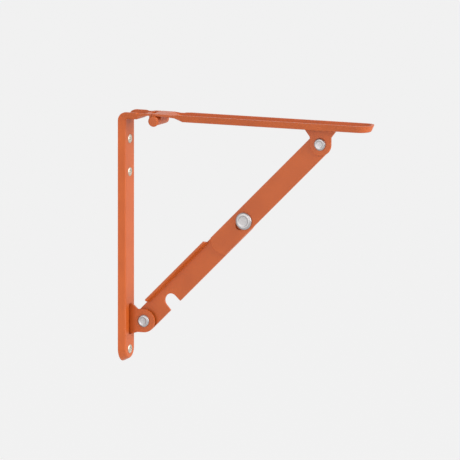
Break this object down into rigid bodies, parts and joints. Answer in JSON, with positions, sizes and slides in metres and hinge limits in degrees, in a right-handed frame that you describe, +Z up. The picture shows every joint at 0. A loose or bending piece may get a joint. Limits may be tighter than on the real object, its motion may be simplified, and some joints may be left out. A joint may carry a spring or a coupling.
{
  "type": "folding shelf bracket",
  "caption": "Folding shelf bracket: a wall leaf and a hinged shelf arm in pressed steel, propped by a jointed strut that folds flat between them.",
  "frame": {"origin": "on the top wall screw's axis, in the plane of the wall", "axes": "+X away from the wall along the open arm, +Z up, Y across the bracket"},
  "size_m": [0.256, 0.0275, 0.23],
  "materials": {
    "orange_paint": "satin powder coat",
    "zinc": "zinc plated",
    "screw_steel": "zinc plated"
  },
  "bodies": {
    "wall_leaf": {"wall_plate": "orange_paint", "wall_lug": "orange_paint", "hinge_pin": "orange_paint", "hinge_pin_far": "orange_paint", "lower_pivot_rivet": "zinc", "lower_pivot_spacer": "zinc", "wall_screw_top": "screw_steel", "wall_screw_middle": "screw_steel", "wall_screw_bottom": "screw_steel"},
    "lower_strut": {"lower_strut": "orange_paint", "lower_pivot_washer": "zinc", "knee_washer": "zinc"},
    "knee_pin": {"knee_pin": "zinc"},
    "upper_strut": {"upper_strut": "orange_paint", "upper_pivot_rivet_back": "zinc"},
    "shelf_arm": {"shelf_arm": "orange_paint", "arm_ear": "orange_paint", "upper_pivot_rivet": "zinc"}
  },
  "joints": [
    {"name": "fold", "type": "hinge", "parent": "wall_leaf", "child": "lower_strut", "pos_m": [0.0192, 0, -0.1671], "axis": [0, -1, 0], "range_deg": [0, 44.9]},
    {"name": "knee_turn", "type": "hinge", "parent": "lower_strut", "child": "knee_pin", "pos_m": [0.11915, 0, -0.07008], "axis": [0, 1, 0], "range_deg": [0, 178.94]},
    {"name": "knee_slide", "type": "slide", "parent": "knee_pin", "child": "upper_strut", "axis": [0.7175, 0, 0.6965], "range_m": [0, 0.00625]},
    {"name": "arm_turn", "type": "hinge", "parent": "upper_strut", "child": "shelf_arm", "pos_m": [0.1966, 0, 0.0051], "axis": [0, -1, 0], "range_deg": [0, 43.97]}
  ],
  "couplings": [
    {"joint": "knee_turn", "follows": "fold", "ratio": 3.9832},
    {"joint": "knee_slide", "follows": "fold", "m_per_rad": 0.0079746},
    {"joint": "arm_turn", "follows": "fold", "ratio": 0.97884}
  ]
}
